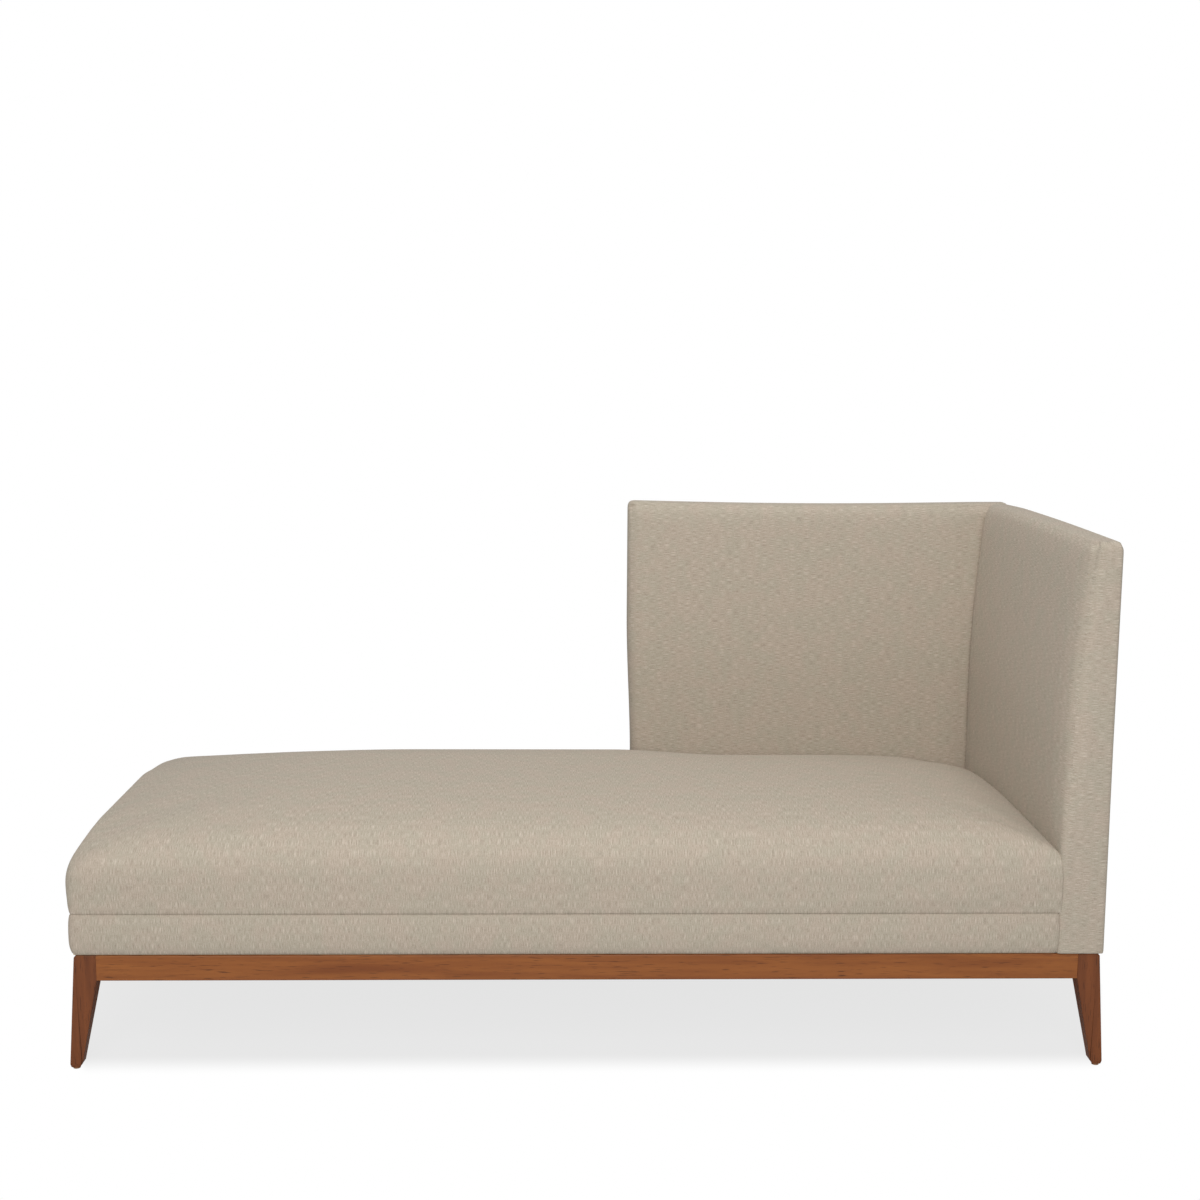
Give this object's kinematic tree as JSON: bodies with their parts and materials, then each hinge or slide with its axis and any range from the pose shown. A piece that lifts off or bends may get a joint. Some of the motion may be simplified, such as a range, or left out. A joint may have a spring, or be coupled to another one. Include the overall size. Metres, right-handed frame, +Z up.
{
  "type": "chaise longue",
  "caption": "Long upholstered chaise with a crowned seat over a padded band, a full-height right arm, a half back and a tapered-leg wooden base.",
  "frame": {"origin": "on the floor under the middle of the base", "axes": "+X along the seat towards the arm, -Y out of the open front, +Z up"},
  "size_m": [1.7284, 0.738, 0.888],
  "materials": {
    "upholstery": "beige chenille-like plain weave with short light slubs",
    "stained_wood": "medium brown stain under satin lacquer",
    "frame_timber": "planed softwood, unfinished",
    "dowel_wood": "fluted beech, unfinished",
    "panel_board": "hardboard",
    "zinc_steel": "zinc plated",
    "glide_plastic": "moulded, tan",
    "dust_cloth": "black non-woven",
    "webbing": "elastic furniture webbing",
    "felt": "grey needle felt",
    "foam": "polyurethane foam"
  },
  "bodies": {
    "root": {"arm_cover": "upholstery", "arm_foam": "foam", "arm_foot_rail": "frame_timber", "arm_front_post": "frame_timber", "arm_inner_panel": "panel_board", "arm_outer_panel": "panel_board", "arm_rear_post": "frame_timber", "arm_top_rail": "frame_timber", "back_centre_post": "frame_timber", "back_cover": "upholstery", "back_foam": "foam", "back_foot_rail": "frame_timber", "back_inner_panel": "panel_board", "back_left_post": "frame_timber", "back_outer_panel": "panel_board", "back_right_post": "frame_timber", "back_top_rail": "frame_timber", "base_screws": "zinc_steel", "bearer_dowels": "dowel_wood", "block_screws": "zinc_steel", "bolt_nuts": "zinc_steel", "bolt_washers": "zinc_steel", "centre_bearer": "frame_timber", "dust_cover": "dust_cloth", "floor_glides": "glide_plastic", "frame_bolts": "zinc_steel", "front_left_block": "frame_timber", "front_left_leg": "stained_wood", "front_rail": "stained_wood", "front_right_block": "frame_timber", "front_right_leg": "stained_wood", "left_bearer": "frame_timber", "left_rail": "stained_wood", "rail_dowels": "dowel_wood", "rear_left_block": "frame_timber", "rear_left_leg": "stained_wood", "rear_rail": "stained_wood", "rear_right_block": "frame_timber", "rear_right_leg": "stained_wood", "right_bearer": "frame_timber", "right_rail": "stained_wood", "seat_band": "upholstery", "seat_centre_cross_board": "frame_timber", "seat_cover": "upholstery", "seat_cross_webbing": "webbing", "seat_felt": "felt", "seat_foam": "foam", "seat_front_board": "frame_timber", "seat_inner_board": "frame_timber", "seat_left_board": "frame_timber", "seat_left_cross_board": "frame_timber", "seat_long_webbing": "webbing", "seat_rear_board": "frame_timber", "seat_return_board": "frame_timber", "seat_right_board": "frame_timber", "seat_right_cross_board": "frame_timber", "seat_screws": "zinc_steel", "slab_dowels": "dowel_wood"}
  },
  "joints": []
}
